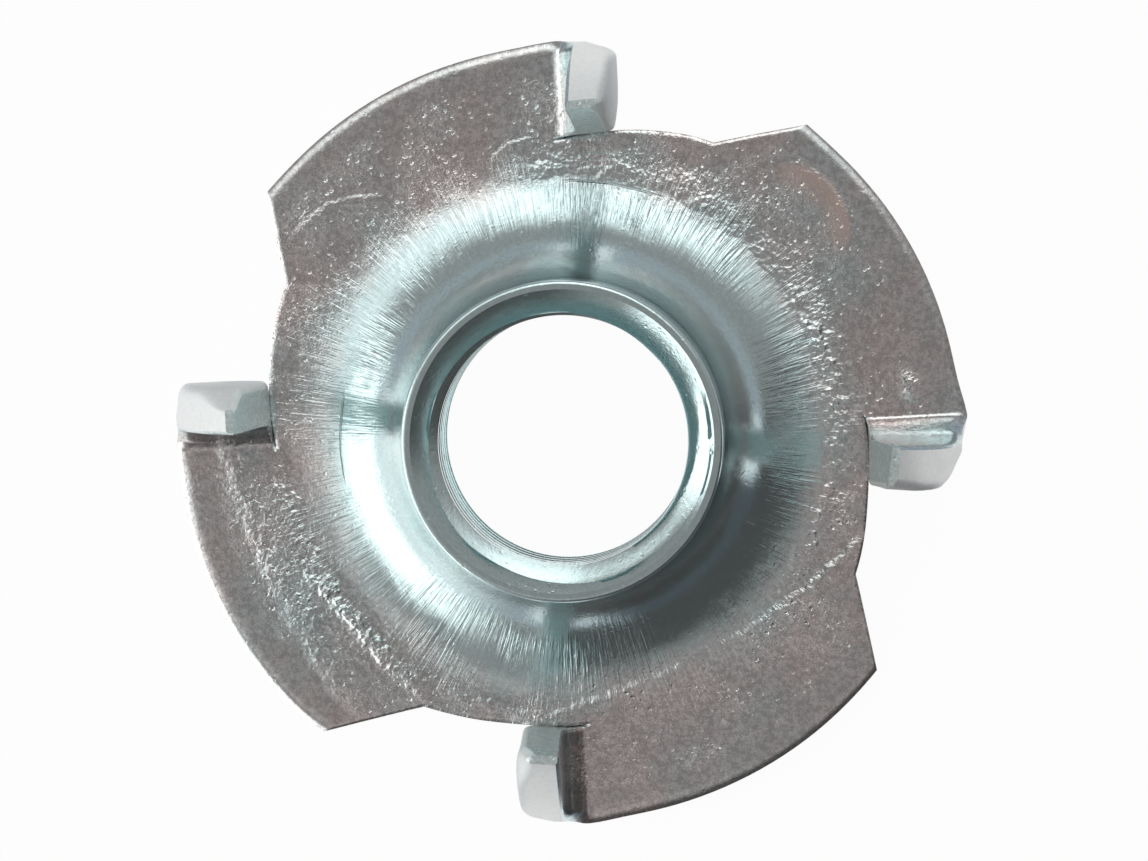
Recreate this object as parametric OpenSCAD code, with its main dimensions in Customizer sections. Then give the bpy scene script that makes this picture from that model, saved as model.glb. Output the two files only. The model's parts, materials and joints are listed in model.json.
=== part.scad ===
// Four-prong tee nut, stamped and drawn from one piece of sheet steel.
// The flange lies flat at z = 0. The barrel and the prongs point up, along +Z.
// The first prong's fold line runs along +Y, out from the axis.

/* [Sheet and flange] */
// Thickness of the sheet
sheet_t = 1.2; // [1:0.05:1.6]
// Diameter across the flange wings
flange_d = 22; // [21:0.5:26]
// Width of the band that blanking rounds off along the rim, on the barrel's side
roll_w = 0.3; // [0.2:0.05:0.8]
// How far that band has sunk at the very edge
roll_drop = 0.1; // [0.05:0.01:0.2]
// Rounding of the rim's other edge
edge_round = 0.3; // [0.1:0.05:0.4]

/* [Barrel and thread] */
// Height from the underside of the flange to the rim of the barrel
height = 11; // [9:0.5:15]
// Hole through the thread crests (M8)
thread_minor_d = 6.85; // [6.65:0.05:6.9]
// Wall of the barrel, from the thread crests to the outside
barrel_wall = 0.975; // [0.85:0.025:1.3]
// Radius of the trumpet between the flange and the barrel
trumpet_r = 3.7; // [2.5:0.1:4]
// Radius of the bell on the underside, which leads into the thread
bell_r = 3.6; // [2.5:0.1:4.4]
// Flat land left on the rim outside the countersink
rim_land = 0.25; // [0.15:0.05:0.4]
// Rounding of the barrel rim's outer edge
rim_round = 0.12; // [0.05:0.01:0.2]
// Angle of the countersink's side from the barrel's axis
mouth_angle = 42; // [30:1:55]

/* [Cut-outs] */
// Number of prongs, each with the cut-out it was folded from
prong_count = 4; // [3:1:4]
// From the flange's rim in to the circle that the web's edge follows
web_inset = 2.6; // [2.2:0.1:3]
// Sideways offset of that circle, so that the web narrows towards the fold
web_shift = 1.35; // [0:0.05:1.6]
// Angle from the fold's line round to the corner of the next wing
wing_corner_angle = 42; // [36:0.5:44]
// How far the end edge of that wing is turned from square to the fold
wing_end_angle = 8.75; // [0:0.25:16]

/* [Prongs] */
// Height of the prong tips above the underside of the flange
prong_h = 7; // [5:0.1:7.4]
// Inside radius of the fold
bend_r = 0.7; // [0.4:0.05:1]
// Radius of the prong's outer side, which carries on the flange's rim above the fold
prong_edge_r = 8.5; // [7.5:0.1:9.5]
// Width of the blunt land on the tip
tip_land = 0.25; // [0.15:0.05:0.6]

/* [Hidden] */

// Segments of a full circle
$fn = 96;
// How far a cutting shape runs past what it cuts
past = 1;

flange_r = flange_d / 2;
bore_r = thread_minor_d / 2;
barrel_r = bore_r + barrel_wall;

// Centre of the trumpet's arc
trumpet_x = barrel_r + trumpet_r;
trumpet_z = sheet_t + trumpet_r;
// Outer edge of the bell on the underside
bell_x = bore_r + bell_r;

// Countersink from the rim's land down to the thread crests
mouth_r = barrel_r - rim_land;
mouth_depth = (mouth_r - bore_r) / tan(mouth_angle);

// Arc of the rounded-off band: level where it leaves the flange, roll_drop lower at the rim
roll_r = (pow(roll_w, 2) + pow(roll_drop, 2)) / (2 * roll_drop);

// Each cut-out and prong is drawn with its fold's line along +Y, out from the axis.

// The circle that the web's edge follows, and where it crosses the fold's line
web_r = flange_r - web_inset;
web_y = sqrt(pow(web_r, 2) - pow(web_shift, 2));

// The fold ends at this height, and its outer side has moved as far sideways
blade_z = sheet_t + bend_r;
// Centre of the arc along the prong's outer side, and where that arc reaches the tip
prong_edge_y = flange_r - prong_edge_r;
tip_y = prong_edge_y + sqrt(pow(prong_edge_r, 2) - pow(prong_h - blade_z, 2));

// Corner of the wing past the cut-out, and the direction of that wing's end edge
wing_corner = flange_r * [sin(wing_corner_angle), cos(wing_corner_angle)];
wing_end = [cos(wing_end_angle), sin(wing_end_angle)];
// From that corner back to the fold's line, well inside the web
wing_end_len = wing_corner.x / wing_end.x;

// Half section through the flange, out to its blanked rim
module flange_section() {
    difference() {
        square([flange_r, sheet_t]);
        roll_section();
        rim_edge_section();
    }
}

// What blanking takes off the rim on the barrel's side
module roll_section() {
    difference() {
        translate([flange_r - roll_w, sheet_t - roll_drop])
            square([roll_w + past, roll_drop + past]);
        translate([flange_r - roll_w, sheet_t - roll_r])
            circle(r = roll_r);
    }
}

// What rounds the rim's other edge
module rim_edge_section() {
    difference() {
        translate([flange_r - edge_round, -past])
            square([edge_round + past, edge_round + past]);
        translate([flange_r - edge_round, edge_round])
            circle(r = edge_round);
    }
}

// Half section of the sheet after drawing, before the cut-outs
module drawn_section() {
    difference() {
        union() {
            flange_section();
            square([barrel_r, height]);
            difference() {
                square([trumpet_x, trumpet_z]);
                translate([trumpet_x, trumpet_z])
                    circle(r = trumpet_r);
            }
        }
        bell_section();
        bore_section();
        barrel_rim_section();
    }
}

// Bell on the underside that leads up to the thread
module bell_section() {
    difference() {
        translate([0, -past])
            square([bell_x, bell_r + past]);
        translate([bell_x, bell_r])
            circle(r = bell_r);
    }
}

// Thread hole, with the countersink at its mouth
module bore_section() {
    polygon([
        [0, -past],
        [bore_r, -past],
        [bore_r, height - mouth_depth],
        [mouth_r, height],
        [mouth_r, height + past],
        [0, height + past]
    ]);
}

// What rounds the rim of the barrel
module barrel_rim_section() {
    difference() {
        translate([barrel_r - rim_round, height - rim_round])
            square(rim_round + past);
        translate([barrel_r - rim_round, height - rim_round])
            circle(r = rim_round);
    }
}

// Flange, trumpet and barrel in one
module drawn_sheet() {
    rotate_extrude()
        drawn_section();
}

// Outline of what was sheared free for one prong, seen from above
module cut_out() {
    difference() {
        polygon([
            wing_corner + past * wing_end,
            wing_corner - wing_end_len * wing_end,
            [0, flange_r + past],
            [wing_corner.x + past, flange_r + past]
        ]);
        translate([web_shift, 0])
            circle(r = web_r);
    }
}

// Flange section turned on end, with its rim towards +Y and its upper side towards -X
module upright_section() {
    rotate(90)
        flange_section();
}

// Quarter turn of the sheet, from the flange up into the blade
module fold() {
    translate([0, 0, blade_z])
        rotate([-90, 0, 0])
            rotate_extrude(angle = 90)
                translate([blade_z, 0])
                    upright_section();
}

// Straight part of the prong, with the flange's rim section along its curved outer side
module blade() {
    translate([blade_z, prong_edge_y, blade_z])
        rotate([0, -90, 0])
            rotate_extrude()
                intersection() {
                    translate([-prong_edge_y, 0])
                        flange_section();
                    square([prong_edge_r, sheet_t]);
                }
}

// Side outline of a prong above its fold: x is the distance from the barrel's axis
module prong_outline() {
    polygon([
        [web_y, blade_z],
        [tip_y - tip_land, prong_h],
        [tip_y + past, prong_h],
        [flange_r + past, blade_z]
    ]);
}

// Post that shears the prong's inner edge where it shears the web's
module web_post() {
    translate([web_shift, 0, -past])
        cylinder(r = web_r, h = prong_h);
}

// One prong, folded up along +Y
module prong() {
    difference() {
        fold();
        web_post();
    }
    difference() {
        intersection() {
            blade();
            rotate([90, 0, 90])
                linear_extrude(height = blade_z + past)
                    prong_outline();
        }
        web_post();
    }
}

// Places its children once for each prong
module at_each_fold() {
    for (i = [0:prong_count - 1])
        rotate([0, 0, i * 360 / prong_count])
            children();
}

module tee_nut() {
    color("silver") {
        difference() {
            drawn_sheet();
            at_each_fold()
                translate([0, 0, -past])
                    linear_extrude(height = trumpet_z + past)
                        cut_out();
        }
        at_each_fold()
            prong();
    }
}

tee_nut();
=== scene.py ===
import json
import math

import bmesh
import bpy
import numpy as np
from mathutils import Matrix, Vector

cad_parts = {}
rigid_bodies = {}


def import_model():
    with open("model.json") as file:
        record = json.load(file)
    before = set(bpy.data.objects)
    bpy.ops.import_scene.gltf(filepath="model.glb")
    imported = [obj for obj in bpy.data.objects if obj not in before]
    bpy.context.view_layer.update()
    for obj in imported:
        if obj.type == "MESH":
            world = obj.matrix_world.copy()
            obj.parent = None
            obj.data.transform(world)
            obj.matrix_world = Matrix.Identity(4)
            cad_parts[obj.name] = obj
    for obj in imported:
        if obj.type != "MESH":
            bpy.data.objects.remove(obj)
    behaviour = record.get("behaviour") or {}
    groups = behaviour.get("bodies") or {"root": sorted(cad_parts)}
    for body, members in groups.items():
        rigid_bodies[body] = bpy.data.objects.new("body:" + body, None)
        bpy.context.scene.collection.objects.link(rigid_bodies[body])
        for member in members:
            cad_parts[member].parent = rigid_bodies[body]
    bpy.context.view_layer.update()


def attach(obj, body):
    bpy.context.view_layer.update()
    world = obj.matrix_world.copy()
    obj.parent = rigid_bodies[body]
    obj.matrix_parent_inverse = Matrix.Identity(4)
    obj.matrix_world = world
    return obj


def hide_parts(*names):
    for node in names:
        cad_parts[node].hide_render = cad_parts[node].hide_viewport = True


for thing in list(bpy.data.objects):
    bpy.data.objects.remove(thing)
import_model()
print("frame loaded")

mm = 0.001
white = (1, 1, 1, 1)

# Sizes in millimetres, the same as in the part's source, and the fine edges that it leaves out
nut = {
    "sheet": 1.2,
    "rimRadius": 11.0,
    "rollWidth": 0.3,
    "rollDrop": 0.1,
    "dipWidth": 0.85,
    "dipDrop": 0.03,
    "underRound": 0.3,
    "cutRollWidth": 0.12,
    "cutRollDrop": 0.05,
    "cutUnderRound": 0.15,
    "height": 11.0,
    "boreRadius": 3.425,
    "barrelRadius": 4.4,
    "trumpetRadius": 3.7,
    "bellRadius": 3.6,
    "mouthRadius": 4.15,
    "mouthAngle": 42.0,
    "mouthBend": 1.25,
    "lipRound": 0.12,
    "prongs": 4,
    "wingEnd": 138.0,
    "wingEndTurn": 8.75,
    "webRadius": 8.4,
    "webShift": 1.35,
    "bendRadius": 0.7,
    "prongHeight": 7.0,
    "prongEdgeRadius": 8.5,
    "tipLand": 0.25,
    "ringStart": 7.0,
    "threadEnd": 4.1,
}

# How finely a quarter of the body is meshed, and how much its lines close up towards the edges
fineness = {
    "wingColumns": 44,
    "webColumns": 20,
    "foldColumns": 14,
    "faceColumns": 4,  # of the fold's columns, those that keep the underside's finish
    "bladeColumns": 32,
    "ringRows": 16,
    "stripRows": 26,
    "wallRows": 6,
    "trumpetRows": 18,
    "barrelRows": 12,
    "lipRows": 5,
    "landRows": 3,
    "bellRows": 14,
    "eveningRows": 10,  # rows over which the turned part's columns even out
    "webPoints": 40,
    "closeWing": 0.85,
    "closeWeb": 0.5,
    "closeRing": 0.8,
    "closeStrip": 0.85,
    "closeBlade": 0.7,
}

# Distances in metres at which points are merged, and the angle in degrees that counts as an edge
weld = {"quarters": 0.000002, "all": 0.000003, "degenerate": 0.0000001, "sharpAngle": 40}

faceKinds = {"face": 0, "cut": 1, "rim": 2}  # the sheet's own surface, sheared walls, blanked rim
offStrip = -20.0  # what along, through and across say away from the wings and prongs


def graded(count, pull):
    # 0 to 1 in count steps that close up towards both ends
    u = np.linspace(0, 1, count + 1)
    return u - pull * np.sin(2 * math.pi * u) / (2 * math.pi)


def gradedEnd(count, pull):
    # the same, closing up only towards 1
    u = np.linspace(1, 0, count + 1)
    return 1 - ((1 - pull) * u + pull * u**2)


def smooth(value, low, high):
    u = np.clip((value - low) / (high - low), 0, 1)
    return u * u * (3 - 2 * u)


def hump(value, middle, width):
    return np.exp(-(((value - middle) / width) ** 2))


def toLine(x, y, line):
    # distance from points to a line of several segments
    best = np.full(np.shape(x), np.inf)
    for (ax, ay), (bx, by) in zip(line[:-1], line[1:]):
        dx, dy = bx - ax, by - ay
        t = np.clip(((x - ax) * dx + (y - ay) * dy) / (dx * dx + dy * dy), 0, 1)
        best = np.minimum(best, np.hypot(x - ax - t * dx, y - ay - t * dy))
    return best


def rolled(d, width, drop):
    # how far a sheared edge has sunk at distance d from it
    arc = (width**2 + drop**2) / (2 * drop)
    return arc - np.sqrt(arc**2 - np.clip(width - d, 0, width) ** 2)


def rounded(d, radius):
    # what a quarter round takes off at distance d from the edge
    return radius - np.sqrt(np.maximum(radius**2 - np.clip(radius - d, 0, radius) ** 2, 0))


def arcHeight(r, edge, radius):
    # height of an arc that starts level at radius edge and rises inwards
    x = np.clip(edge - r, 0, radius)
    return radius - np.sqrt(radius**2 - x**2)


# Where the trumpet and the bell start, and between which heights the thread's own surface runs
trumpetEdge = nut["barrelRadius"] + nut["trumpetRadius"]
bellEdge = nut["boreRadius"] + nut["bellRadius"]
coneWidth = nut["mouthRadius"] - nut["boreRadius"]
coneDepth = coneWidth / math.tan(math.radians(nut["mouthAngle"]))
coneShare = ((nut["threadEnd"] - nut["boreRadius"]) / coneWidth) ** (1 / nut["mouthBend"])
coneEnd = nut["height"] - coneDepth * (1 - coneShare)
bellEnd = float(arcHeight(nut["threadEnd"], bellEdge, nut["bellRadius"]))

# Outline of the flat sheet near one fold, whose line runs along +Y
foldRoot = math.sqrt(nut["webRadius"] ** 2 - nut["webShift"] ** 2)
wingEnd = math.radians(nut["wingEnd"])
corner = (nut["rimRadius"] * math.cos(wingEnd), nut["rimRadius"] * math.sin(wingEnd))
nextCorner = (corner[1], -corner[0])

# From its corner, a wing's end edge runs in to the circle that the web's edge follows
slant = math.radians(nut["wingEndTurn"])
toCorner = nextCorner[0] - nut["webShift"]
half = toCorner * math.cos(slant) + nextCorner[1] * math.sin(slant)
run = half - math.sqrt(half**2 - toCorner**2 - nextCorner[1] ** 2 + nut["webRadius"] ** 2)
nextNotch = (nextCorner[0] - run * math.cos(slant), nextCorner[1] - run * math.sin(slant))
notch = (-nextNotch[1], nextNotch[0])
notchRadius = math.hypot(*notch)
notchAngle = math.degrees(math.atan2(notch[1], notch[0]))
webAngles = np.linspace(
    math.atan2(foldRoot, -nut["webShift"]),
    math.atan2(nextNotch[1], nextNotch[0] - nut["webShift"]),
    fineness["webPoints"],
)
webEdge = [
    (nut["webShift"] + nut["webRadius"] * math.cos(a), nut["webRadius"] * math.sin(a))
    for a in webAngles
]
lastWebEdge = [(-y, x) for x, y in webEdge]
cutLines = (webEdge, lastWebEdge, [notch, corner], [nextNotch, nextCorner])

foldRadius = nut["sheet"] + nut["bendRadius"]
foldMiddle = nut["bendRadius"] + nut["sheet"] / 2
foldLength = foldMiddle * math.pi / 2
bladeLength = nut["prongHeight"] - foldRadius


def toCuts(x, y):
    # distance from points to the nearest sheared edge
    return np.min([toLine(x, y, line) for line in cutLines], axis=0)


def folded(w, y, h):
    # flat sheet to space: w across the fold's line, y along it, h up through the sheet
    turn = np.clip(w, 0, foldLength) / foldMiddle
    reach = foldRadius - h
    x = np.where(w < 0, w, reach * np.sin(turn))
    z = np.where(w < 0, h, foldRadius - reach * np.cos(turn) + np.maximum(w - foldLength, 0))
    return np.stack([x, y, z], -1)


def turned(rows, theta, even):
    # rows of (radius, height) swept round the axis; the columns even out on the way
    rows = np.array(rows)
    share = np.clip(np.arange(len(rows)) / fineness["eveningRows"], 0, 1)[None, :]
    angle = theta[:, None] * (1 - share) + even[:, None] * share
    x, y = rows[:, 0] * np.cos(angle), rows[:, 0] * np.sin(angle)
    return np.stack([x, y, np.broadcast_to(rows[:, 1], x.shape)], -1)


def arcRows(edge, bottom, radius, start, end, count):
    # rows up an arc that starts level at radius edge and height bottom
    return [
        (edge - radius * math.sin(q), bottom + radius - radius * math.cos(q))
        for q in np.linspace(start, end, count + 1)
    ]


def spanned(top, under):
    # rows that run from the upper edge of a wall down to its lower edge
    v = np.linspace(0, 1, fineness["wallRows"] + 1)
    return top[:, None] + (under - top)[:, None] * v.reshape((1, -1) + (1,) * (top.ndim - 1))


def patch(points, kind="face", along=None, through=None, across=None):
    # a grid of points, its kind of face, and where its points lie on the strip of wing and prong
    off = np.full(points.shape[:2], offStrip)
    places = [off if place is None else place for place in (along, through, across)]
    return (points, faceKinds[kind], *places)


def quarterColumns():
    # azimuth and inner end of the wing's columns, then azimuth of all columns and the ring's reach there
    n, f = nut, fineness
    wingTheta = np.radians(notchAngle + (90 - notchAngle) * graded(f["wingColumns"], f["closeWing"]))
    webTheta = np.radians(90 + (notchAngle - 180) * graded(f["webColumns"], f["closeWeb"]))
    theta = np.concatenate([wingTheta, webTheta[1:]])
    part = (notchAngle - np.degrees(theta)) / (notchAngle - 90)
    wingReach = notchRadius + (foldRoot - notchRadius) * part
    sideways = n["webShift"] * np.sin(theta)
    webReach = n["webShift"] * np.cos(theta) + np.sqrt(n["webRadius"] ** 2 - sideways**2)
    reach = np.where(theta >= math.radians(90), wingReach, webReach)
    return wingTheta, wingReach[: len(wingTheta)], theta, reach


def buildRing(theta, reach):
    # top and underside of the ring round the trumpet, out to the web's edge or to where the wing begins
    n, f = nut, fineness
    share = gradedEnd(f["ringRows"], f["closeRing"])[None, :]
    r = n["ringStart"] + (reach[:, None] - n["ringStart"]) * share
    x, y = r * np.cos(theta)[:, None], r * np.sin(theta)[:, None]
    cut = toCuts(x, y)
    top = n["sheet"] + arcHeight(r, trumpetEdge, n["trumpetRadius"])
    top -= rolled(cut, n["cutRollWidth"], n["cutRollDrop"])
    under = arcHeight(r, bellEdge, n["bellRadius"]) + rounded(cut, n["cutUnderRound"])
    return np.stack([x, y, top], -1), np.stack([x, y, under], -1)


def flatWing(wingTheta, wingReach, t):
    # the wing's points, from the ring out to the rim, and how far they are from rim and sheared edges
    n = nut
    rimTheta = np.radians(90 + (n["wingEnd"] - 90) * (np.degrees(wingTheta) - 90) / (notchAngle - 90))
    ax, ay = (wingReach * np.cos(wingTheta))[:, None], (wingReach * np.sin(wingTheta))[:, None]
    bx, by = n["rimRadius"] * np.cos(rimTheta)[:, None], n["rimRadius"] * np.sin(rimTheta)[:, None]
    x, y = ax + (bx - ax) * t, ay + (by - ay) * t
    x[-1] = 0
    return x, y, n["rimRadius"] - np.hypot(x, y), toCuts(x, y)


def flatProng(t):
    # the same for the fold and the prong, laid out flat beyond the fold's line
    n, f = nut, fineness
    blade = bladeLength * gradedEnd(f["bladeColumns"], f["closeBlade"])
    w = np.concatenate([np.linspace(0, foldLength, f["foldColumns"] + 1)[1:], foldLength + blade[1:]])
    up = np.maximum(w - foldLength, 0)
    centre = n["rimRadius"] - n["prongEdgeRadius"]
    outer = centre + np.sqrt(n["prongEdgeRadius"] ** 2 - up**2)
    tip = outer[-1] - n["tipLand"]
    middle = foldMiddle * np.sin(np.clip(w, 0, foldLength) / foldMiddle)
    sheared = np.sqrt(n["webRadius"] ** 2 - (middle - n["webShift"]) ** 2)
    inner = np.maximum(sheared, foldRoot + (tip - foldRoot) * up / bladeLength)
    y = inner[:, None] + (outer - inner)[:, None] * t
    x = np.repeat(w[:, None], y.shape[1], 1)
    return x, y, outer[:, None] - y, np.minimum(y - inner[:, None], (w[-1] - w)[:, None])


def buildStrip(wingTheta, wingReach):
    # wing, fold and prong in one strip: places on it, heights of its two sides, and their points in space
    n, f = nut, fineness
    t = graded(f["stripRows"], f["closeStrip"])[None, :]
    both = zip(flatWing(wingTheta, wingReach, t), flatProng(t))
    along, flatY, rim, cut = [np.vstack(pair) for pair in both]
    across = np.repeat(t, len(along), 0)
    rimRoll = rolled(rim, n["rollWidth"], n["rollDrop"])
    cutRoll = rolled(cut, n["cutRollWidth"], n["cutRollDrop"])
    top = n["sheet"] - rolled(rim, n["dipWidth"], n["dipDrop"]) - np.maximum(rimRoll, cutRoll)
    under = np.maximum(rounded(rim, n["underRound"]), rounded(cut, n["cutUnderRound"]))
    return along, across, top, under, folded(along, flatY, top), folded(along, flatY, under)


def buildTurned(theta):
    # trumpet, barrel, lip and the start of the countersink, then the bell below
    n, f = nut, fineness
    even = np.radians(np.linspace(notchAngle, notchAngle - 90, len(theta)))
    start = math.asin((trumpetEdge - n["ringStart"]) / n["trumpetRadius"])
    rows = arcRows(trumpetEdge, n["sheet"], n["trumpetRadius"], start, math.pi / 2, f["trumpetRows"])
    shoulder = n["height"] - n["lipRound"]
    barrel = np.linspace(n["sheet"] + n["trumpetRadius"], shoulder, f["barrelRows"] + 1)
    rows += [(n["barrelRadius"], z) for z in barrel[1:]]
    for q in np.radians(np.linspace(0, 90, f["lipRows"] + 1)[1:]):
        inwards, upwards = n["lipRound"] * (1 - math.cos(q)), n["lipRound"] * math.sin(q)
        rows.append((n["barrelRadius"] - inwards, shoulder + upwards))
    land = np.linspace(n["barrelRadius"] - n["lipRound"], n["mouthRadius"], f["landRows"] + 1)
    rows += [(r, n["height"]) for r in land[1:]]
    rows.append((n["threadEnd"], coneEnd))
    low = math.asin((bellEdge - n["ringStart"]) / n["bellRadius"])
    high = math.asin((bellEdge - n["threadEnd"]) / n["bellRadius"])
    bell = arcRows(bellEdge, 0, n["bellRadius"], low, high, f["bellRows"])
    return [patch(turned(rows, theta, even)), patch(turned(bell, theta, even))]


def buildQuarter():
    f = fineness
    wingTheta, wingReach, theta, reach = quarterColumns()
    ringTop, ringUnder = buildRing(theta, reach)
    along, across, topH, underH, stripTop, stripUnder = buildStrip(wingTheta, wingReach)
    patches = [patch(ringTop), patch(ringUnder), patch(stripTop, "face", along, topH, across)]
    split = f["wingColumns"] + f["faceColumns"]
    for pick, kind in ((np.s_[: split + 1], "face"), (np.s_[split:], "rim")):
        patches.append(patch(stripUnder[pick], kind, along[pick], underH[pick], across[pick]))

    # walls round the outline: the wing's end, the rim, the prong's tip and inner edge, then the web
    first = f["wingColumns"]
    edges = ((stripTop, stripUnder), (along, along), (topH, underH), (across, across))
    for pick, kind in (
        (np.s_[0, :], "cut"),
        (np.s_[:, -1], "rim"),
        (np.s_[-1, :], "cut"),
        (np.s_[first:, 0], "cut"),
    ):
        points, *places = [spanned(a[pick], b[pick]) for a, b in edges]
        patches.append(patch(points, kind, *places))
    patches.append(patch(spanned(ringTop[first:, -1], ringUnder[first:, -1]), "cut"))
    return patches + buildTurned(theta)


def meshFromPatches(name, patches):
    faces, base = [], 0
    for points, *_ in patches:
        index = base + np.arange(points.shape[0] * points.shape[1]).reshape(points.shape[:2])
        corners = [index[:-1, :-1], index[1:, :-1], index[1:, 1:], index[:-1, 1:]]
        faces.append(np.stack(corners, -1).reshape(-1, 4))
        base += index.size
    data = bpy.data.meshes.new(name)
    allPoints = np.concatenate([p[0].reshape(-1, 3) for p in patches]) * mm
    data.from_pydata(allPoints, [], np.concatenate(faces).tolist())
    kinds = np.concatenate([np.full(len(q), p[1]) for p, q in zip(patches, faces)])
    layer = data.attributes.new("faceKind", "FLOAT", "FACE")
    layer.data.foreach_set("value", kinds.astype(np.float32))
    for i, label in enumerate(("along", "through", "across")):
        values = np.concatenate([p[2 + i].ravel() for p in patches])
        layer = data.attributes.new(label, "FLOAT", "POINT")
        layer.data.foreach_set("value", values.astype(np.float32))
    made = bpy.data.objects.new(name, data)
    bpy.context.scene.collection.objects.link(made)
    return made


class Tree:
    # a node tree with short ways to add sockets, nodes and sums to it
    def __init__(self, tree):
        self.tree = tree

    def socket(self, name, kind, value=None, out=False):
        way = "OUTPUT" if out else "INPUT"
        item = self.tree.interface.new_socket(name=name, in_out=way, socket_type="NodeSocket" + kind)
        if value is not None:
            item.default_value = value
        return item.identifier

    def node(self, kind, inputs=None, **settings):
        made = self.tree.nodes.new(kind)
        for key, value in settings.items():
            setattr(made, key, value)
        for key, value in (inputs or {}).items():
            if isinstance(value, bpy.types.NodeSocket):
                self.tree.links.new(value, made.inputs[key])
            else:
                made.inputs[key].default_value = value
        return made

    def do(self, operation, a, b=0.0, c=0.0):
        return self.node("ShaderNodeMath", {0: a, 1: b, 2: c}, operation=operation).outputs[0]

    def plus(self, a, b):
        return self.do("ADD", a, b)

    def minus(self, a, b):
        return self.do("SUBTRACT", a, b)

    def times(self, a, b):
        return self.do("MULTIPLY", a, b)

    def over(self, a, b):
        return self.do("DIVIDE", a, b)

    def least(self, a, b):
        return self.do("MINIMUM", a, b)

    def most(self, a, b):
        return self.do("MAXIMUM", a, b)

    def ramp(self, value, start, end, low=0.0, high=1.0):
        inputs = {0: value, 1: start, 2: end, 3: low, 4: high}
        return self.node("ShaderNodeMapRange", inputs, interpolation_type="SMOOTHSTEP").outputs[0]

    def mix(self, share, a, b):
        return self.node("ShaderNodeMix", {0: share, 6: a, 7: b}, data_type="RGBA").outputs[2]

    def vector(self, operation, a, b=(0, 0, 0)):
        made = self.node("ShaderNodeVectorMath", {0: a, 1: b}, operation=operation)
        return made.outputs["Value" if operation in ("LENGTH", "DOT_PRODUCT") else "Vector"]

    def split(self, place):
        return self.node("ShaderNodeSeparateXYZ", {0: place}).outputs

    def join(self, x=0.0, y=0.0, z=0.0):
        return self.node("ShaderNodeCombineXYZ", {0: x, 1: y, 2: z}).outputs[0]

    def place(self, kind="Object"):
        return self.node("ShaderNodeTexCoord").outputs[kind]

    def fromAxis(self, x, y):
        return self.do("SQRT", self.plus(self.times(x, x), self.times(y, y)))

    def noise(self, place, scale, detail, roughness):
        inputs = {"Vector": place, "Scale": scale, "Detail": detail, "Roughness": roughness}
        return self.node("ShaderNodeTexNoise", inputs).outputs[0]

    def finish(self, *outputs):
        last = self.node("NodeGroupOutput")
        for socket, place in zip(outputs, last.inputs):
            self.tree.links.new(socket, place)


def repeatTree():
    t = Tree(bpy.data.node_groups.new("repeatRound", "GeometryNodeTree"))
    t.socket("Geometry", "Geometry")
    ids = {
        "count": t.socket("Count", "Int", 4),
        "merge": t.socket("Merge Distance", "Float", 0.000002),
        "face": t.socket("Face Material", "Material"),
        "cut": t.socket("Cut Material", "Material"),
        "rim": t.socket("Rim Material", "Material"),
    }
    t.socket("Geometry", "Geometry", out=True)
    g = t.node("NodeGroupInput").outputs
    points = t.node("GeometryNodeMeshLine", {"Count": g["Count"], "Offset": (0, 0, 0)})
    index = t.node("GeometryNodeInputIndex").outputs[0]
    spin = t.join(z=t.times(index, t.over(2 * math.pi, g["Count"])))
    placed = t.node(
        "GeometryNodeInstanceOnPoints",
        {"Points": points.outputs[0], "Instance": g["Geometry"], "Rotation": spin},
    )
    real = t.node("GeometryNodeRealizeInstances", {"Geometry": placed.outputs[0]})
    merging = {"Geometry": real.outputs[0], "Distance": g["Merge Distance"]}
    last = t.node("GeometryNodeMergeByDistance", merging)
    kind = t.node("GeometryNodeInputNamedAttribute", {"Name": "faceKind"}, data_type="FLOAT")
    for key, material in (("face", "Face Material"), ("cut", "Cut Material"), ("rim", "Rim Material")):
        above = t.node(
            "FunctionNodeCompare",
            {0: kind.outputs[0], 1: faceKinds[key] - 0.5},
            data_type="FLOAT",
            operation="GREATER_THAN",
        )
        last = t.node(
            "GeometryNodeSetMaterial",
            {"Geometry": last.outputs[0], "Selection": above.outputs[0], "Material": g[material]},
        )
    t.finish(last.outputs[0])
    return t.tree, ids


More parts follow.
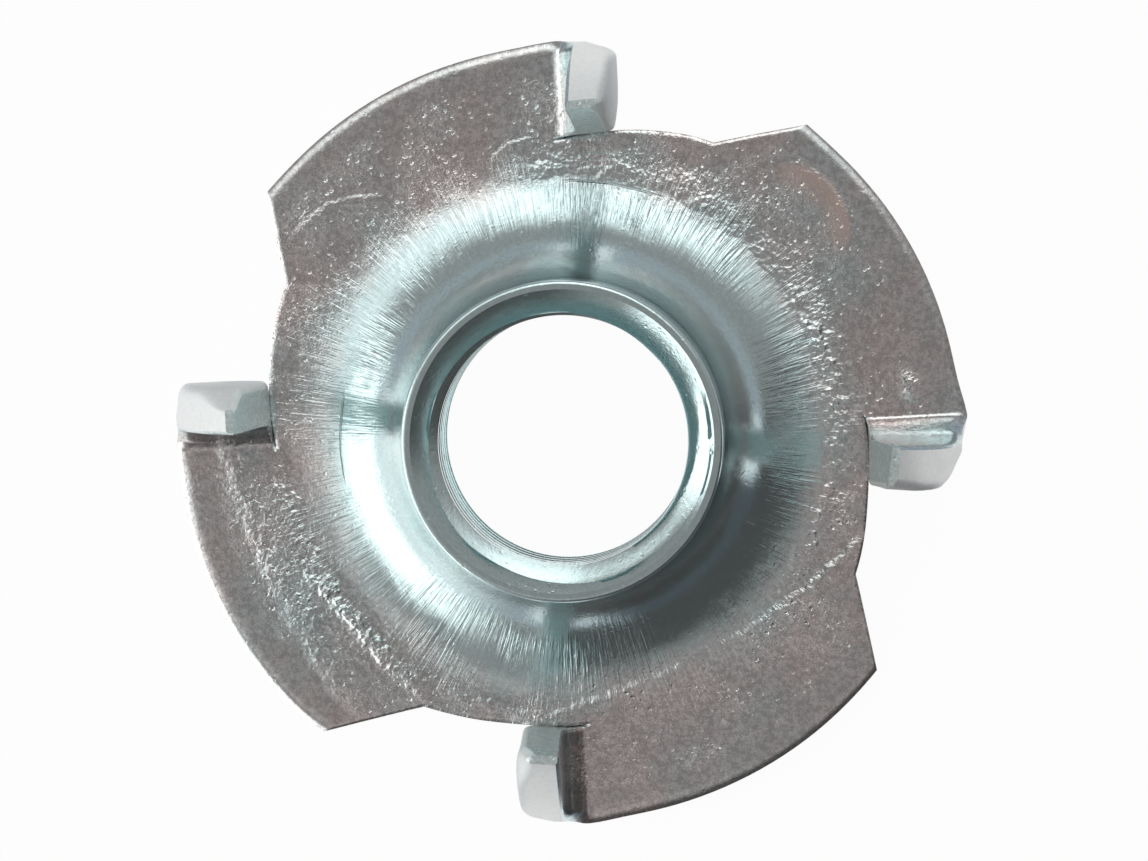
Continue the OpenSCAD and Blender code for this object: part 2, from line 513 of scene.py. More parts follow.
def threadTree():
    t = Tree(bpy.data.node_groups.new("threadHelix", "GeometryNodeTree"))
    t.socket("Geometry", "Geometry")
    ids = {}
    for key, name, kind, value in (
        ("pitch", "Pitch", "Float", 1.25),
        ("crest", "Crest Radius", "Float", 3.425),
        ("root", "Root Radius", "Float", 4.03),
        ("flat", "Crest Flat", "Float", 0.43),
        ("flank", "Flank Slope", "Float", 1.73),
        ("low", "Lower End", "Float", 1.5),
        ("high", "Upper End", "Float", 10.9),
        ("bellEdge", "Bell Edge", "Float", 7.0),
        ("bell", "Bell Radius", "Float", 3.6),
        ("cone", "Countersink Start", "Float", 10.2),
        ("coneDepth", "Countersink Depth", "Float", 0.8),
        ("coneWidth", "Countersink Width", "Float", 0.7),
        ("coneBend", "Countersink Bend", "Float", 1.25),
        ("start", "Start Angle", "Float", 0.0),
        ("phase", "Phase", "Float", 0.0),
        ("scale", "Scale", "Float", 0.001),
        ("merge", "Merge Distance", "Float", 0.000002),
        ("columns", "Columns", "Int", 256),
        ("perTurn", "Rows per Turn", "Int", 16),
        ("rows", "Rows", "Int", 160),
        ("material", "Material", "Material", None),
    ):
        ids[key] = t.socket(name, kind, value)
    t.socket("Geometry", "Geometry", out=True)
    g = t.node("NodeGroupInput").outputs
    around = t.plus(g["Columns"], 1)
    grid = t.node("GeometryNodeMeshGrid", {"Vertices X": around, "Vertices Y": g["Rows"]})
    index = t.node("GeometryNodeInputIndex").outputs[0]
    column = t.do("FLOOR", t.over(t.plus(index, 0.5), g["Rows"]))
    row = t.minus(index, t.times(column, g["Rows"]))
    share = t.over(column, g["Columns"])
    turns = t.minus(t.plus(t.over(row, g["Rows per Turn"]), share), 1.0)
    climb = t.plus(t.times(turns, g["Pitch"]), g["Lower End"])
    z = t.least(t.most(climb, g["Lower End"]), g["Upper End"])
    # distance along the axis from the middle of the nearest crest
    climbed = t.over(t.minus(z, g["Lower End"]), g["Pitch"])
    phase = t.do("FRACT", t.plus(t.minus(climbed, share), g["Phase"]))
    off = t.times(t.do("ABSOLUTE", t.minus(phase, 0.5)), g["Pitch"])
    past = t.most(t.minus(off, t.times(g["Crest Flat"], 0.5)), 0.0)
    flank = t.plus(g["Crest Radius"], t.times(past, g["Flank Slope"]))
    thread = t.least(flank, g["Root Radius"])
    # the blank's own radius: bell below, countersink above
    fall = t.most(t.minus(g["Bell Radius"], z), 0.0)
    square = t.times(g["Bell Radius"], g["Bell Radius"])
    bell = t.minus(g["Bell Edge"], t.do("SQRT", t.minus(square, t.times(fall, fall))))
    up = t.over(t.minus(z, g["Countersink Start"]), g["Countersink Depth"])
    rise = t.do("POWER", t.most(up, 0.0), g["Countersink Bend"])
    cone = t.plus(g["Crest Radius"], t.times(rise, g["Countersink Width"]))
    radius = t.times(t.most(t.most(bell, cone), thread), g["Scale"])
    turn = t.plus(g["Start Angle"], t.times(share, 2 * math.pi))
    x = t.times(radius, t.do("COSINE", turn))
    y = t.times(radius, t.do("SINE", turn))
    position = t.join(x, y, t.times(z, g["Scale"]))
    moved = t.node("GeometryNodeSetPosition", {"Geometry": grid.outputs[0], "Position": position})
    merging = {"Geometry": moved.outputs[0], "Distance": g["Merge Distance"]}
    merged = t.node("GeometryNodeMergeByDistance", merging)
    real = t.node("GeometryNodeRealizeInstances", {"Geometry": merged.outputs[0]})
    last = t.node("GeometryNodeSetMaterial", {"Geometry": real.outputs[0], "Material": g["Material"]})
    t.finish(last.outputs[0])
    return t.tree, ids


def applyTree(obj, tree, ids, values):
    # runs the tree on the object and keeps the result as a plain mesh
    modifier = obj.modifiers.new("shape", "NODES")
    modifier.node_group = tree
    for key, value in values.items():
        modifier[ids[key]] = value
    bpy.context.view_layer.update()
    evaluated = obj.evaluated_get(bpy.context.evaluated_depsgraph_get())
    data = bpy.data.meshes.new_from_object(evaluated)
    obj.modifiers.remove(modifier)
    obj.data = data


# Marks that the tools left on the wings: steps along arcs, in millimetres and degrees. The tail runs
# outwards from the arc, or inwards if negative. A stained mark is warmer than the sheet.
markFields = ("x", "y", "radius", "middle", "half", "width", "tail", "raise", "wobble", "scuff", "stained")
markRows = [
    (-4.82, 11.32, 19.55, -63, 18, 0.3, 1.6, 1.3, 0.08, 0.5, False),
    (4.87, -5.54, 2.79, -15, 50, 0.6, -1.2, 0.5, 0.1, 0, False),
    (9.06, 3.67, 19.3, -158, 14, 0.5, -1.4, 0.9, 0.12, 1.6, False),
    (12.0, 9.2, 23.5, -141, 7, 0.3, -1.0, 1.2, 0.1, 1.6, False),
    (-5.55, 4.46, 2.55, 112, 40, 0.2, -0.6, 0.7, 0.08, 0, False),
    (-0.68, 6.88, 1.51, 112, 30, 0.15, -0.5, 0.5, 0.04, 0, False),
    (6.23, 5.32, 1.95, 35, 60, 0.3, -1.1, 0.6, 0.05, 0, True),
    (0, 0, 6.5, 178, 12, 0.05, 0.07, -0.6, 0.02, 0, False),
    (0, 0, 7.1, 77, 12, 0.05, 0.07, -0.6, 0.02, 0, False),
    (0, 0, 7.4, 76, 24, 0.4, 1.0, 0.3, 0.2, 1.7, False),
    (0, 0, 7.4, 38, 26, 0.5, 1.4, 0.1, 0.3, 1.6, False),
    (0, 0, 7.3, 350, 40, 0.5, 1.1, 0.4, 0.2, 2.0, False),
    (9.6, 0.75, 0.0, 0, 170, 0.1, 0.6, 0.3, 0.05, 2.6, False),
    (0, 0, 8.0, 252, 16, 0.3, 0.5, 0.3, 0.1, 1.2, False),
    (0, 0, 8.1, 205, 26, 0.5, 1.5, 0.3, 0.3, 1.8, False),
]
marks = [dict(zip(markFields, row)) for row in markRows]

# Zinc plating. Pits, waviness and fleck depth are multiplied by each finish's speckle. Noises here and
# below are a scale per metre, a detail and a roughness, or the last two where the scale is an input.
zinc = {
    "stain": (0.86, 0.70, 0.64, 1),
    "patchSize": 0.0028,
    "pits": 0.84,
    "waviness": 1.4,
    "fleckDepth": 0.6,
    "bumpDistance": 0.00004,
    "wanderNoise": (1500, 2, 0.75),
    "wanderSpread": 4.0,
    "rubNoise": (4500, 1, 0.7),
}
zincFinishes = {
    "zincFace": {
        "tints": ((0.66, 0.79, 0.80, 1), (0.83, 0.755, 0.745, 1)),
        "speckle": 0.5,
        "drawMarks": 0.36,
        "roughness": 0.19,
        "metallic": 1,
        "arcs": marks,
    },
    "zincCut": {
        "tints": ((0.82, 0.93, 0.93, 1), (0.9, 0.9, 0.89, 1)),
        "speckle": 0.4,
        "drawMarks": 0,
        "roughness": 0.28,
        "metallic": 0.65,
        "arcs": [],
    },
    "zincRim": {
        "tints": ((0.94, 0.95, 0.95, 1), (0.96, 0.945, 0.945, 1)),
        "speckle": 0.1,
        "drawMarks": 0,
        "roughness": 0.45,
        "metallic": 0.5,
        "arcs": [],
    },
}

# Grain of the sheet. A ramp has its start and end, then its values there if they aren't 0 and 1: the
# first group runs over the distance from the axis in metres, the second over a noise or a pit.
grain = {
    "speckleSize": 0.00014,
    "speckleNoise": (2, 0.8),
    "patchNoise": (520, 2, 0.6),
    "coarseNoise": (3800, 2, 0.7),
    "coarseShare": 0.8,
    "waveNoise": (800, 1, 0.5),
    "drawNoise": (1, 2, 0.6),
    "drawSets": ((120.0, 1100.0, 0.4), (50.0, 800.0, 0.8)),  # cells round, cells outwards, height
    "pitScale": 5600,
    "hazeLeast": 0.7,
    "hazeSpread": 0.6,
    "onWing": (0.0066, 0.0082, 0.25, 1.0),
    "byRim": (0.0099, 0.0103, 1.0, 0.3),
    "onFlange": (0.0055, 0.0075, 0.1, 1.0),
    "drawStart": (0.0050, 0.0062),
    "drawEnd": (0.0076, 0.0093, 1.0, 0.0),
    "inPatches": (0.36, 0.66, 0.5, 1.35),
    "drawPatches": (0.35, 0.62, 0.25, 1.3),
    "drawLine": (0.3, 0.75),
    "pitPatches": (0.5, 0.62),
    "pitEdge": (0.12, 0.42, 1.0, 0.0),
    "fleckEdge": (0.35, 0.65),
}


def grainGroup():
    # fine speckle on the wings, draw marks round the trumpet and patches of haze
    t = Tree(bpy.data.node_groups.new("sheetGrain", "ShaderNodeTree"))
    for name, value in (
        ("Speckle Size", grain["speckleSize"]),
        ("Speckle", 0.5),
        ("Pits", 0.2),
        ("Waviness", 0.5),
        ("Draw Marks", 0.5),
        ("Roughness", 0.25),
    ):
        t.socket(name, "Float", value)
    for name in ("Height", "Roughness", "Flecks"):
        t.socket(name, "Float", out=True)
    g = t.node("NodeGroupInput").outputs
    place = t.place()
    x, y = t.split(place)[:2]
    r = t.fromAxis(x, y)
    fine = t.noise(place, t.over(1.0, g["Speckle Size"]), *grain["speckleNoise"])
    patchy = t.noise(place, *grain["patchNoise"])
    coarse = t.noise(place, *grain["coarseNoise"])
    onWing = t.ramp(r, *grain["onWing"])
    fromRim = t.times(onWing, t.ramp(r, *grain["byRim"]))
    amount = t.times(t.ramp(patchy, *grain["inPatches"]), fromRim)
    speckle = t.plus(fine, t.times(coarse, grain["coarseShare"]))
    height = t.times(t.times(speckle, amount), g["Speckle"])
    cells = t.node("ShaderNodeTexVoronoi", {"Vector": place, "Scale": grain["pitScale"]})
    pit = t.ramp(cells.outputs["Distance"], *grain["pitEdge"])
    pitted = t.times(t.times(pit, t.ramp(coarse, *grain["pitPatches"])), amount)
    height = t.minus(height, t.times(pitted, g["Pits"]))
    ripple = t.times(t.noise(place, *grain["waveNoise"]), t.ramp(r, *grain["onFlange"]))
    height = t.plus(height, t.times(ripple, g["Waviness"]))
    # lines that run outwards, in a fine and a coarse set
    inBand = t.times(t.ramp(r, *grain["drawStart"]), t.ramp(r, *grain["drawEnd"]))
    band = t.times(inBand, t.ramp(patchy, *grain["drawPatches"]))
    for around, outwards, share in grain["drawSets"]:
        unit = t.over(around, r)
        ring = t.join(t.times(x, unit), t.times(y, unit), t.times(r, outwards))
        line = t.ramp(t.noise(ring, *grain["drawNoise"]), *grain["drawLine"])
        drawn = t.times(t.times(line, band), g["Draw Marks"])
        height = t.plus(height, t.times(drawn, share))
    hazy = t.plus(grain["hazeLeast"], t.times(patchy, grain["hazeSpread"]))
    flecks = t.times(t.ramp(fine, *grain["fleckEdge"]), onWing)
    t.finish(height, t.times(g["Roughness"], hazy), flecks)
    return t.tree


markShape = {"full": 0.6, "gone": 1.05}  # shares of the half angle: full up to one, gone past the other


def markGroup():
    # a step along an arc: one steep flank, and a long one that fades out
    t = Tree(bpy.data.node_groups.new("toolMark", "ShaderNodeTree"))
    for name, value in (("Place", (0, 0, 0)), ("Centre", (0, 0, 0)), ("Middle", (1, 0, 0))):
        t.socket(name, "Vector", value)
    for name, value in (
        ("Radius", 0.007),
        ("Half Angle", 0.5),
        ("Width", 0.0002),
        ("Tail", 0.0006),
        ("Side", 1.0),
        ("Wobble", 0.0001),
        ("Raise", 0.5),
        ("Scuff", 0.0),
        ("Wander", 0.0),
        ("Rub", 0.5),
    ):
        t.socket(name, "Float", value)
    for name in ("Height", "Mask"):
        t.socket(name, "Float", out=True)
    g = t.node("NodeGroupInput").outputs
    away = t.vector("SUBTRACT", g["Place"], g["Centre"])
    far = t.vector("LENGTH", away)
    ahead = t.vector("DOT_PRODUCT", away, g["Middle"])
    strayed = t.do("MULTIPLY_ADD", g["Wander"], g["Wobble"], far)
    off = t.times(t.minus(strayed, g["Radius"]), g["Side"])
    steep = t.ramp(off, t.times(g["Width"], -0.5), t.times(g["Width"], 0.5))
    long = t.ramp(off, 0.0, g["Tail"], 1.0, 0.0)
    gone = t.do("COSINE", t.times(g["Half Angle"], markShape["gone"]))
    full = t.do("COSINE", t.times(g["Half Angle"], markShape["full"]))
    line = t.times(t.times(steep, long), t.ramp(t.over(ahead, far), gone, full))
    raised = t.do("MULTIPLY_ADD", g["Scuff"], g["Rub"], g["Raise"])
    t.finish(t.times(line, raised), line)
    return t.tree


# How far the tint is drawn from the cool towards the warm grey: by a noise, which is the zinc's own random
# drift, and by the distance from the axis and by the height, which paint the hue of reflected light:
# warmer on the flat wings, cooler on the raised trumpet and barrel
driftAndPaintedHue = {
    "noise": (3, 0.55),
    "spread": 2.0,
    "outwards": (0.006, 0.0085, -0.9, -0.3),
    "upwards": (0.00125, 0.0019, 0.0, -0.9),
}


def tintAndPaintedHueGroup():
    # clear zinc drifts at random between a cool and a warm grey; a painted reflection hue on top makes the
    # flat wings warmer and the raised parts cooler
    t = Tree(bpy.data.node_groups.new("zincTintAndPaintedHue", "ShaderNodeTree"))
    t.socket("Cool", "Color", (0.6, 0.66, 0.7, 1))
    t.socket("Warm", "Color", (0.7, 0.64, 0.6, 1))
    t.socket("Patch Size", "Float", 0.003)
    t.socket("Flecks", "Float", 0.0)
    t.socket("Fleck Depth", "Float", 0.3)
    t.socket("Color", "Color", out=True)
    g = t.node("NodeGroupInput").outputs
    place = t.place()
    x, y, z = t.split(place)
    patches = t.noise(place, t.over(1.0, g["Patch Size"]), *driftAndPaintedHue["noise"])
    # painted reflection hue: warmer outwards on the flat wings, cooler upwards on the trumpet and barrel
    share = t.plus(t.times(patches, driftAndPaintedHue["spread"]), t.ramp(t.fromAxis(x, y), *driftAndPaintedHue["outwards"]))
    share = t.plus(share, t.ramp(z, *driftAndPaintedHue["upwards"]))
    dim = t.minus(1.0, t.times(g["Flecks"], g["Fleck Depth"]))
    t.finish(t.vector("MULTIPLY", t.mix(share, g["Cool"], g["Warm"]), t.join(dim, dim, dim)))
    return t.tree


def zincMaterial(name, tints, speckle, drawMarks, roughness, metallic, arcs):
    material = bpy.data.materials.new(name)
    material.use_nodes = True
    t = Tree(material.node_tree)
    inputs = {
        "Speckle": speckle,
        "Pits": zinc["pits"] * speckle,
        "Waviness": zinc["waviness"] * speckle,
        "Draw Marks": drawMarks,
        "Roughness": roughness,
    }
    sheet = t.node("ShaderNodeGroup", inputs, node_tree=sheetGrain).outputs
    inputs = {
        "Cool": tints[0],
        "Warm": tints[1],
        "Patch Size": zinc["patchSize"],
        "Flecks": sheet["Flecks"],
        "Fleck Depth": zinc["fleckDepth"] * speckle,
    }
    colour = t.node("ShaderNodeGroup", inputs, node_tree=zincTintAndPaintedHue).outputs[0]
    height = sheet["Height"]
    place = t.place()
    x, y = t.split(place)[:2]
    spread = zinc["wanderSpread"]
    common = {
        "Place": t.join(x, y),
        "Wander": t.do("MULTIPLY_ADD", t.noise(place, *zinc["wanderNoise"]), spread, -spread / 2),
        "Rub": t.noise(place, *zinc["rubNoise"]),
    }
    for m in arcs:
        middle = math.radians(m["middle"])
        inputs = {
            "Centre": (m["x"] * mm, m["y"] * mm, 0),
            "Middle": (math.cos(middle), math.sin(middle), 0),
            "Radius": m["radius"] * mm,
            "Half Angle": math.radians(m["half"]),
            "Width": m["width"] * mm,
            "Tail": abs(m["tail"]) * mm,
            "Side": math.copysign(1, m["tail"]),
            "Wobble": m["wobble"] * mm,
            "Raise": m["raise"],
            "Scuff": m["scuff"],
        }
        mark = t.node("ShaderNodeGroup", {**common, **inputs}, node_tree=toolMark).outputs
        height = t.plus(height, mark["Height"])
        if m["stained"]:
            colour = t.mix(mark["Mask"], colour, zinc["stain"])
    bump = t.node("ShaderNodeBump", {"Height": height, "Distance": zinc["bumpDistance"]})
    shader = t.tree.nodes["Principled BSDF"]
    shader.inputs["Metallic"].default_value = metallic
    t.tree.links.new(colour, shader.inputs["Base Color"])
    t.tree.links.new(sheet["Roughness"], shader.inputs["Roughness"])
    t.tree.links.new(bump.outputs[0], shader.inputs["Normal"])
    return material


sheetGrain, toolMark, zincTintAndPaintedHue = grainGroup(), markGroup(), tintAndPaintedHueGroup()
zincFace, zincCut, zincRim = [zincMaterial(name, **finish) for name, finish in zincFinishes.items()]
print("materials made")

# Body: a quarter of the sheet with one prong, repeated round the axis
teeNut = meshFromPatches("teeNut", buildQuarter())
values = {
    "count": nut["prongs"],
    "merge": weld["quarters"],
    "face": zincFace,
    "cut": zincCut,
    "rim": zincRim,
}
applyTree(teeNut, *repeatTree(), values)
print("body:", len(teeNut.data.vertices), "vertices")

# M8 thread
helix = {
    "pitch": 1.25,
    "rootRadius": 4.03,
    "crestFlat": 0.43,
    "flankAngle": 30.0,
    "phase": 0.1,
    "columns": 256,
    "rowsPerTurn": 16,
}
thread = bpy.data.objects.new("thread", bpy.data.meshes.new("thread"))
bpy.context.scene.collection.objects.link(thread)
values = {
    "pitch": helix["pitch"],
    "crest": nut["boreRadius"],
    "root": helix["rootRadius"],
    "flat": helix["crestFlat"],
    "flank": 1 / math.tan(math.radians(helix["flankAngle"])),
    "low": bellEnd,
    "high": coneEnd,
    "bellEdge": bellEdge,
    "bell": nut["bellRadius"],
    "cone": nut["height"] - coneDepth,
    "coneDepth": coneDepth,
    "coneWidth": coneWidth,
    "coneBend": nut["mouthBend"],
    "start": math.radians(notchAngle),
    "phase": helix["phase"],
    "scale": mm,
    "merge": weld["quarters"],
    "columns": helix["columns"],
    "perTurn": helix["rowsPerTurn"],
    "rows": math.ceil(((coneEnd - bellEnd) / helix["pitch"] + 2) * helix["rowsPerTurn"]),
    "material": zincFace,
}
applyTree(thread, *threadTree(), values)
print("thread:", len(thread.data.vertices), "vertices")
with bpy.context.temp_override(active_object=teeNut, selected_editable_objects=[teeNut, thread]):
    bpy.ops.object.join()

# Each prong was folded a little differently: lengths in millimetres, angles in degrees
prongFields = ("lean", "twist", "bulge", "pinch", "bevel", "narrow", "wide", "out", "fill", "burr")
prongRows = [
    (2.4, 0, 0.10, 0.40, 0.15, 0.30, 0.0, 0.0, 0.22, 0.0),
    (1.5, 0, 0.12, 0.15, 0.50, 0.10, 0.1, 0.0, 0.18, 0.0),
    (0.3, 0, 0.14, 0.15, 0.32, 0.20, 0.1, -0.2, 0.25, 0.0),
    (-0.5, -8, 0.24, 0.45, 0.10, 0.0, 0.1, -0.1, 0.38, 0.22),
]
prongs = [dict(zip(prongFields, row)) for row in prongRows]

# Where each of those changes sets in, in millimetres
bending = {
    "prongFrom": -2.5,  # what moves with a prong: along the strip, to both sides, and out from the axis
    "prongHalf": 3.0,
    "prongInner": 7.5,
    "skin": 0.8,  # how deep the changes to the outer side go
    "bulge": (0.3, 0.9, 2),  # middle and width along the strip, and how the change grows across it
    "pinch": (2.6, 1.8, 4),
    "narrow": (1.2, 2.2, 5),  # start and end along the strip, and how the change fades across it
    "wide": (0.8, 2.0),
    "bevelDepth": 1.4,
    "burrDepth": 0.5,
    "burrShare": 0.12,
    "fillWidth": 1.2,
    "lean": (0.4, 2.6),
    "leanHeight": 1.4,
    "pivot": (1.3, 9.5),  # the twist's own axis
    "outHeights": (2, 7),
}

# How the real outline strays from the drawing, by azimuth: outwards in millimetres, round in degrees
strays = {
    "outward": {5: 0, 25: -0.03, 45: -0.08, 62: 0.16, 76: 0.1, 84: 0, 100: -0.05, 135: -0.05, 150: 0.1,
                168: 0.1, 180: 0.08, 190: 0.15, 225: 0.1, 233: -0.1, 242: -0.2, 256: -0.22, 268: 0,
                290: -0.04, 315: -0.04, 330: 0, 345: -0.08, 355: 0},
    "round": {15: 0, 45: 1.2, 56: 1.6, 72: 0, 115: 0, 138: 0.4, 150: 0.4, 165: 0, 205: 0, 228: -0.85,
              240: -0.85, 255: 0, 295: 0, 318: 0.9, 330: 0.9, 345: 0},
    "blur": 4,  # degrees to each side over which they are evened out
    "setIn": (6.6, 8.4),  # radii between which they set in
}


def stray(levels, azimuth):
    # smooth curve through the levels, all the way round
    keys, heights = zip(*sorted(levels.items()))
    shifts = range(-strays["blur"], strays["blur"] + 1)
    return np.mean([np.interp(azimuth + d, keys, heights, period=360) for d in shifts], axis=0)


def readPoints(data, name):
    values = np.zeros(len(data.vertices), np.float32)
    data.attributes[name].data.foreach_get("value", values)
    return values


def bendProngs(p, along, through, across):
    b = bending
    top = foldLength + bladeLength
    outside = np.clip(1 - through / b["skin"], 0, 1)
    upper = np.clip(through / nut["sheet"], 0, 1)
    phi = np.clip(along, 0, foldLength) / foldMiddle
    share = smooth(along, *b["lean"])
    for k, way in enumerate(prongs):
        c, s = math.cos(k * math.pi / 2), math.sin(k * math.pi / 2)
        x, y, z = c * p[:, 0] + s * p[:, 1], c * p[:, 1] - s * p[:, 0], p[:, 2].copy()
        mine = (along > b["prongFrom"]) & (np.abs(x) < b["prongHalf"]) & (y > b["prongInner"])
        middle, width, power = b["bulge"]
        y += way["bulge"] * (hump(along, middle, width) * across**power) * upper
        middle, width, power = b["pinch"]
        y -= way["pinch"] * (hump(along, middle, width) * across**power) * outside
        start, end, power = b["narrow"]
        x -= way["narrow"] * outside * (1 - across) ** power * smooth(along, start, end)
        x += way["wide"] * outside * smooth(along, *b["wide"])
        x -= way["bevel"] * outside * smooth(along, top - b["bevelDepth"], top)
        byEdge = np.clip(1 - across / b["burrShare"], 0, 1)
        x += way["burr"] * outside * byEdge * smooth(along, top - b["burrDepth"], top)
        # the fold's hollow side is rounder than drawn
        fill = way["fill"] * hump(along, foldLength / 2, b["fillWidth"]) * upper**2
        x, z = x - fill * np.sin(phi), z + fill * np.cos(phi)
        x -= np.maximum(z - b["leanHeight"], 0) * math.tan(math.radians(way["lean"])) * share
        turn = math.radians(way["twist"]) * share * z / nut["prongHeight"]
        dx, dy = x - b["pivot"][0], y - b["pivot"][1]
        x = b["pivot"][0] + dx * np.cos(turn) - dy * np.sin(turn)
        y = b["pivot"][1] + dx * np.sin(turn) + dy * np.cos(turn)
        y += way["out"] * share * smooth(z, *b["outHeights"])
        p[mine, 0] = (c * x - s * y)[mine]
        p[mine, 1] = (s * x + c * y)[mine]
    return p


def strayOutline(p):
    radius = np.hypot(p[:, 0], p[:, 1])
    azimuth = np.degrees(np.arctan2(p[:, 1], p[:, 0]))
    share = smooth(radius, *strays["setIn"])
    turn = np.radians(stray(strays["round"], azimuth)) * share + np.radians(azimuth)
    radius += stray(strays["outward"], azimuth) * share
    p[:, 0], p[:, 1] = radius * np.cos(turn), radius * np.sin(turn)
    return p


work = bmesh.new()
work.from_mesh(teeNut.data)
bmesh.ops.remove_doubles(work, verts=work.verts, dist=weld["all"])
bmesh.ops.dissolve_degenerate(work, edges=work.edges, dist=weld["degenerate"])
bmesh.ops.recalc_face_normals(work, faces=work.faces)
print("open edges:", sum(not e.is_manifold for e in work.edges))
for face in work.faces:
    face.smooth = True
work.to_mesh(teeNut.data)
work.free()

data = teeNut.data
points = np.zeros(len(data.vertices) * 3, np.float32)
data.vertices.foreach_get("co", points)
points = points.reshape(-1, 3).astype(float) / mm
points = bendProngs(points, *[readPoints(data, name) for name in ("along", "through", "across")])
points = strayOutline(points)
data.vertices.foreach_set("co", (points * mm).astype(np.float32).ravel())
data.update()
data.set_sharp_from_angle(angle=math.radians(weld["sharpAngle"]))
for name in ("faceKind", "along", "through", "across"):
    data.attributes.remove(data.attributes[name])

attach(teeNut, "root")
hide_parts("tee_nut")
print("nut:", sum(len(f.vertices) - 2 for f in data.polygons), "triangles")

# Floor: white to the eye. In reflections it glows with painted light: bright one way, in bright patches
# beside the prongs and in a pool under the nut, and with painted shade another way.
# Lengths are in metres and ways in degrees; a spread is two cosines of the angle from a way.
ground = {
    "half": 1.5,
    "gap": 0.00002,
    "paint": (0.9, 0.9, 0.9, 1),
    "white": 0.96,
    "brightWay": 205,
    "brightSpread": (0.72, 0.95),
    "darkWay": 315,
    "darkSpread": (0.7, 0.9),
    "plain": 0.45,
    "dark": 0.25,
    "patch": 0.95,
    "patchWays": (84, 174, 264, 352),
    "patchSpread": (0.972, 0.992),
    "patchReach": (0.028, 0.04),
    "underNut": (0.005, 0.009),
    "cool": (0.80, 0.89, 1.0, 1),
}


def floorMaterial():
    material = bpy.data.materials.new("floorWhite")
    material.use_nodes = True
    t = Tree(material.node_tree)
    paint = t.tree.nodes["Principled BSDF"]
    paint.inputs["Base Color"].default_value = ground["paint"]
    paint.inputs["Roughness"].default_value = 1
    paint.inputs["Specular IOR Level"].default_value = 0
    rays = t.node("ShaderNodeLightPath").outputs
    eye = rays["Is Camera Ray"]
    place = t.place()
    away = t.vector("LENGTH", place)
    unit = t.vector("NORMALIZE", place)

    def towards(degrees):
        # cosine of the angle between a floor point's azimuth and this one
        way = (math.cos(math.radians(degrees)), math.sin(math.radians(degrees)), 0)
        return t.vector("DOT_PRODUCT", unit, way)

    # painted light and shade of the glow seen in reflections: a bright way, a dark way, bright patches
    # beside the prongs and a bright pool under the nut
    bright = t.ramp(towards(ground["brightWay"]), *ground["brightSpread"], ground["plain"], 1.0)
    shade = t.ramp(towards(ground["darkWay"]), *ground["darkSpread"], 1.0, ground["dark"])
    beside = 0.0
    for way in ground["patchWays"]:
        beside = t.most(beside, towards(way))
    near = t.ramp(away, *ground["patchReach"], ground["patch"], 0.0)
    patches = t.times(t.ramp(beside, *ground["patchSpread"]), near)
    outer = t.most(t.times(bright, shade), patches)
    level = t.most(outer, t.ramp(away, *ground["underNut"], 1.0, 0.0))
    strength = t.most(eye, level)
    # the dimmer parts of the painted glow are tinted cool
    colour = t.mix(strength, ground["cool"], white)
    glow = t.node("ShaderNodeEmission", {"Color": colour, "Strength": strength})
    seen = t.most(t.times(eye, ground["white"]), rays["Is Glossy Ray"])
    mixed = t.node("ShaderNodeMixShader", {0: seen, 1: paint.outputs[0], 2: glow.outputs[0]})
    # from below, the eye looks through it
    fromBelow = t.times(t.node("ShaderNodeNewGeometry").outputs["Backfacing"], eye)
    clear = t.node("ShaderNodeBsdfTransparent")
    shown = t.node("ShaderNodeMixShader", {0: fromBelow, 1: mixed.outputs[0], 2: clear.outputs[0]})
    t.tree.links.new(shown.outputs[0], t.tree.nodes["Material Output"].inputs["Surface"])
    return material


floorData = bpy.data.meshes.new("floor")
edge = ground["half"]
corners = [(x, y, -ground["gap"]) for x, y in ((-edge, -edge), (edge, -edge), (edge, edge), (-edge, edge))]
floorData.from_pydata(corners, [], [(0, 1, 2, 3)])
floor = bpy.data.objects.new("floor", floorData)
bpy.context.scene.collection.objects.link(floor)
floorData.materials.append(floorMaterial())

# Light tent: azimuth from +X towards +Y, polar angle from straight up, all in degrees
tent = {
    "overhead": 0.29,
    "side": 0.33,
    "sidePolar": (10.0, 35.0),  # polar angles between which overhead turns into side
    "warm": (1.0, 0.965, 0.95, 1),
    "cool": (0.96, 1.0, 0.985, 1),
    "coolLevels": (0.3, 1.0),  # the brighter, the cooler
    "panels": [
        {"azimuth": 96, "half": 58, "fade": 16, "from": 26, "to": 60, "blur": 11, "level": 0.85},
        {"azimuth": 81, "half": 20, "fade": 8, "from": 32, "to": 71, "blur": 5, "level": 0.75},
        {"azimuth": 196, "half": 39, "fade": 9, "from": 57, "to": 180, "blur": 8, "level": 1.5},
        {"azimuth": 184, "half": 21, "fade": 10, "from": 30, "to": 60, "blur": 9, "level": 0.75},
        {"azimuth": 222, "half": 60, "fade": 20, "from": 13, "to": 34, "blur": 5, "level": 0.14},
        {"azimuth": 312, "half": 52, "fade": 14, "from": 46, "to": 180, "blur": 14, "level": -0.245},
    ],
}


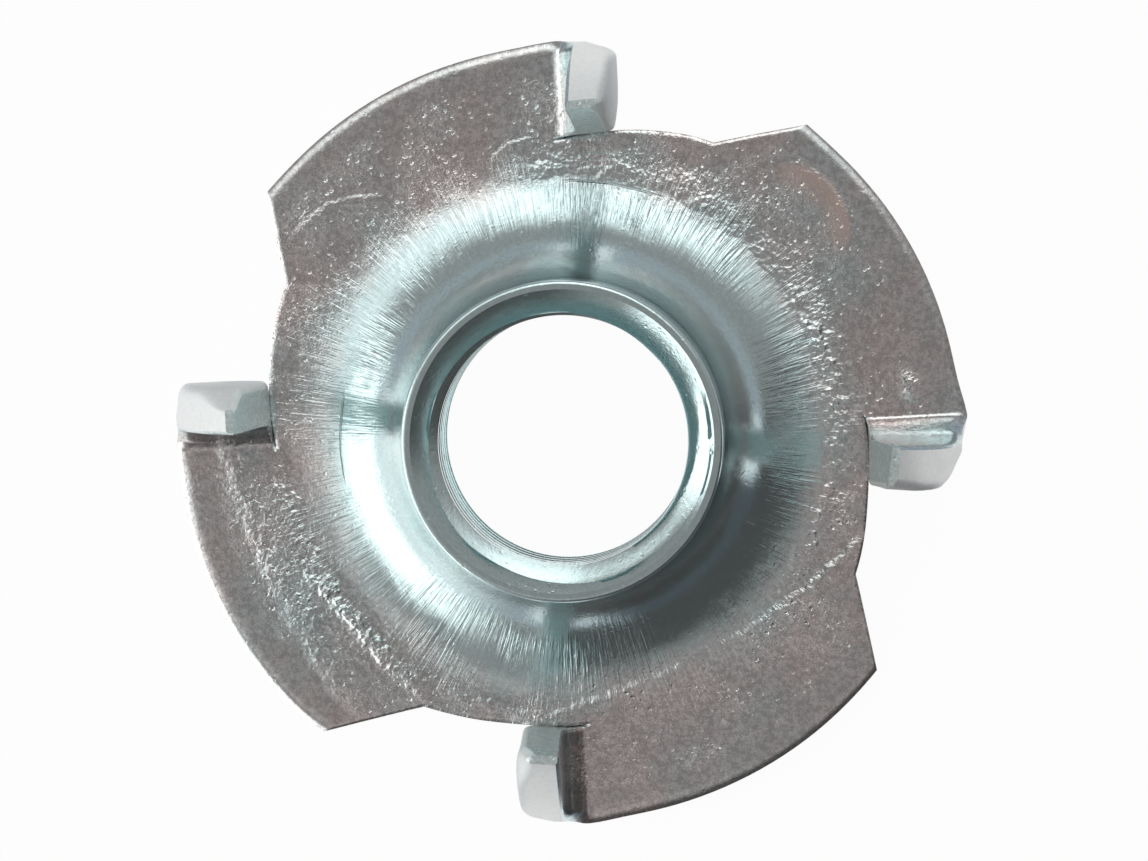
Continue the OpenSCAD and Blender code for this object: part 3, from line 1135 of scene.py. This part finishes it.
def buildTent():
    world = bpy.data.worlds.new("studio")
    world.use_nodes = True
    t = Tree(world.node_tree)
    x, y, z = t.split(t.place("Generated"))
    azimuth = t.do("DEGREES", t.do("ARCTAN2", y, x))
    polar = t.do("DEGREES", t.do("ARCCOSINE", z))
    level = t.ramp(polar, *tent["sidePolar"], tent["overhead"], tent["side"])
    for p in tent["panels"]:
        apart = t.do("ABSOLUTE", t.do("WRAP", t.minus(azimuth, p["azimuth"]), 180.0, -180.0))
        sector = t.ramp(apart, p["half"] - p["fade"], p["half"] + p["fade"], 1.0, 0.0)
        mask = t.times(sector, t.ramp(polar, p["from"] - p["blur"], p["from"] + p["blur"]))
        if p["to"] < 180:
            mask = t.times(mask, t.ramp(polar, p["to"] - p["blur"], p["to"] + p["blur"], 1.0, 0.0))
        level = t.do("MULTIPLY_ADD", mask, p["level"], level)
    eye = t.node("ShaderNodeLightPath").outputs["Is Camera Ray"]
    shade = t.mix(t.ramp(level, *tent["coolLevels"]), tent["warm"], tent["cool"])
    background = t.tree.nodes["Background"]
    t.tree.links.new(t.mix(eye, shade, white), background.inputs["Color"])
    t.tree.links.new(t.most(level, eye), background.inputs["Strength"])
    return world


bpy.context.scene.world = buildTent()
print("stage and light made")

# Camera almost straight above, leaning a little to the right and back, and rolled by some degrees
view = {
    "lens": 280,
    "sensor": 36,
    "clip": (0.01, 10),
    "distance": 0.254,
    "aim": (0.0464, 0.0144),  # in millimetres
    "lean": (0.02765, 0.02467),
    "roll": 3.25,
}
cameraData = bpy.data.cameras.new("camera")
camera = bpy.data.objects.new("camera", cameraData)
bpy.context.scene.collection.objects.link(camera)
bpy.context.scene.camera = camera
cameraData.lens = view["lens"]
cameraData.sensor_width = view["sensor"]
cameraData.clip_start, cameraData.clip_end = view["clip"]
away = Vector((*view["lean"], 1)).normalized()
roll = math.radians(view["roll"])
right = Vector((math.sin(roll), math.cos(roll), 0)).cross(away).normalized()
facing = Matrix((right, away.cross(right), away)).transposed()
aim = Vector((*view["aim"], 0)) * mm
camera.matrix_world = Matrix.Translation(aim + away * view["distance"]) @ facing.to_4x4()
bpy.context.scene.view_settings.view_transform = "Standard"
